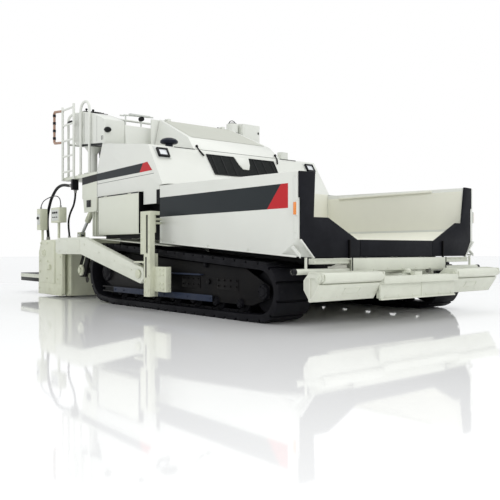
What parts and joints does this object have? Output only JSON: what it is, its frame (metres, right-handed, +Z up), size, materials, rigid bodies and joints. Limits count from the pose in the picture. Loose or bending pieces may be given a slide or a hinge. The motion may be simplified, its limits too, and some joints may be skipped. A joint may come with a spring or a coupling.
{
  "type": "tracked asphalt paver",
  "caption": "Tracked asphalt paver with front hopper, remixing screws, engine house, operator's platform and an extending screed on tow arms.",
  "frame": {"origin": "on the ground under the middle of the machine's box", "axes": "+Z up, -Y the way it travels, +X to the machine's left"},
  "size_m": [3.48, 7.405, 2.94],
  "materials": {
    "body_white": "satin paint",
    "frame_cream": "satin paint",
    "hopper_cream": "worn paint",
    "track_black": "dull",
    "dark_steel": "dull",
    "rubber_black": "matt",
    "black_paint": "satin paint",
    "steel": "worn",
    "chrome": "polished",
    "lamp": "clear",
    "seat_black": "matt"
  },
  "bodies": {
    "tractor": {"track_left": "track_black", "track_right": "track_black", "track_frames": "dark_steel", "track_rollers": "dark_steel", "drive_sprockets": "dark_steel", "chassis": "black_paint", "cross_beams": "black_paint", "trough": "hopper_cream", "nose": "frame_cream", "cross_tube": "body_white", "hopper_wall_left": "body_white", "hopper_wall_right": "body_white", "hopper_floor": "hopper_cream", "hopper_bulkhead": "hopper_cream", "hopper_aprons": "rubber_black", "gate_hinges": "steel", "remix_bearings": "dark_steel", "engine_house": "body_white", "grille": "black_paint", "headlights": "lamp", "engine_block": "dark_steel", "side_tanks": "frame_cream", "exhaust_stack": "chrome", "operator_platform": "frame_cream", "instrument_console": "body_white", "side_console_left": "body_white", "side_console_right": "body_white", "seat_left": "seat_black", "seat_right": "seat_black", "ladder": "body_white", "guard_rails": "body_white", "tow_posts": "body_white", "tow_cylinders": "body_white", "rear_frame": "dark_steel", "hose_bracket": "black_paint", "screed_hose": "rubber_black", "heater_hose": "rubber_black"},
    "screed": {"tow_arms": "body_white", "main_screed": "frame_cream", "screed_valve_block": "frame_cream", "rod_clevises": "frame_cream"},
    "extension_left": {"screed_extension_left": "frame_cream", "end_gate_left": "frame_cream"},
    "extension_right": {"screed_extension_right": "frame_cream", "end_gate_right": "frame_cream", "control_cable": "rubber_black"},
    "walkway": {"walkway": "black_paint"},
    "lift_barrels": {"lift_barrels": "frame_cream"},
    "lift_rods": {"lift_rods": "chrome"},
    "push_beam": {"push_beam": "body_white"},
    "push_roller_left": {"push_roller_left": "body_white"},
    "push_roller_right": {"push_roller_right": "body_white"},
    "front_gate": {"front_gate": "rubber_black"},
    "engine_lid": {"engine_lid": "body_white"},
    "remix_screw_1": {"remix_screw_1": "steel"},
    "remix_screw_2": {"remix_screw_2": "steel"},
    "remix_screw_3": {"remix_screw_3": "steel"},
    "remix_screw_4": {"remix_screw_4": "steel"},
    "spreading_screw_left": {"spreading_screw_left": "steel"},
    "spreading_screw_right": {"spreading_screw_right": "steel"}
  },
  "joints": [
    {"name": "screed_lift", "type": "hinge", "parent": "tractor", "child": "screed", "pos_m": [0, -0.8075, 0.44], "axis": [1, 0, 0], "range_deg": [0, 6], "deforming": ["screed_hose", "heater_hose"]},
    {"name": "lift_barrel_swing", "type": "hinge", "parent": "tractor", "child": "lift_barrels", "pos_m": [0, 1.2525, 1.45], "axis": [1, 0, 0], "range_deg": [0, 16.8]},
    {"name": "lift_rod_slide", "type": "slide", "parent": "lift_barrels", "child": "lift_rods", "axis": [0, -0.7071, 0.7071], "range_m": [0, 0.2144]},
    {"name": "extension_left_slide", "type": "slide", "parent": "screed", "child": "extension_left", "axis": [1, 0, 0], "range_m": [0, 1.15]},
    {"name": "extension_right_slide", "type": "slide", "parent": "screed", "child": "extension_right", "axis": [-1, 0, 0], "range_m": [0, 1.15]},
    {"name": "walkway_fold", "type": "hinge", "parent": "screed", "child": "walkway", "pos_m": [0, 2.6775, 0.335], "axis": [1, 0, 0], "range_deg": [0, 85]},
    {"name": "push_beam_swing", "type": "hinge", "parent": "tractor", "child": "push_beam", "pos_m": [0, -3.4975, 0.4475], "axis": [0, 0, 1], "range_deg": [-4, 4]},
    {"name": "push_roller_left_spin", "type": "hinge", "parent": "push_beam", "child": "push_roller_left", "pos_m": [1.05, -3.6525, 0.474], "axis": [1, 0, 0], "continuous": true},
    {"name": "push_roller_right_spin", "type": "hinge", "parent": "push_beam", "child": "push_roller_right", "pos_m": [-1.05, -3.6525, 0.474], "axis": [1, 0, 0], "continuous": true},
    {"name": "front_gate_tip", "type": "hinge", "parent": "tractor", "child": "front_gate", "pos_m": [0, -3.3155, 0.672], "axis": [-1, 0, 0], "range_deg": [0, 25]},
    {"name": "engine_lid_open", "type": "hinge", "parent": "tractor", "child": "engine_lid", "pos_m": [0, 0.4585, 2.648], "axis": [-1, 0, 0], "range_deg": [0, 45]},
    {"name": "remix_screw_1_spin", "type": "hinge", "parent": "tractor", "child": "remix_screw_1", "pos_m": [-0.66, 0, 0.695], "axis": [0, 1, 0], "continuous": true},
    {"name": "remix_screw_2_spin", "type": "hinge", "parent": "tractor", "child": "remix_screw_2", "pos_m": [-0.22, 0, 0.695], "axis": [0, 1, 0], "continuous": true},
    {"name": "remix_screw_3_spin", "type": "hinge", "parent": "tractor", "child": "remix_screw_3", "pos_m": [0.22, 0, 0.695], "axis": [0, 1, 0], "continuous": true},
    {"name": "remix_screw_4_spin", "type": "hinge", "parent": "tractor", "child": "remix_screw_4", "pos_m": [0.66, 0, 0.695], "axis": [0, 1, 0], "continuous": true},
    {"name": "spreading_screw_left_spin", "type": "hinge", "parent": "tractor", "child": "spreading_screw_left", "pos_m": [0.75, 1.3525, 0.43], "axis": [1, 0, 0], "continuous": true},
    {"name": "spreading_screw_right_spin", "type": "hinge", "parent": "tractor", "child": "spreading_screw_right", "pos_m": [-0.75, 1.3525, 0.43], "axis": [1, 0, 0], "continuous": true}
  ],
  "couplings": [
    {"joint": "lift_barrel_swing", "follows": "screed_lift", "ratio": 2.8},
    {"joint": "lift_rod_slide", "follows": "screed_lift", "m_per_rad": 2.0474},
    {"joint": "remix_screw_2_spin", "follows": "remix_screw_1_spin", "ratio": -1},
    {"joint": "remix_screw_3_spin", "follows": "remix_screw_4_spin", "ratio": -1}
  ]
}
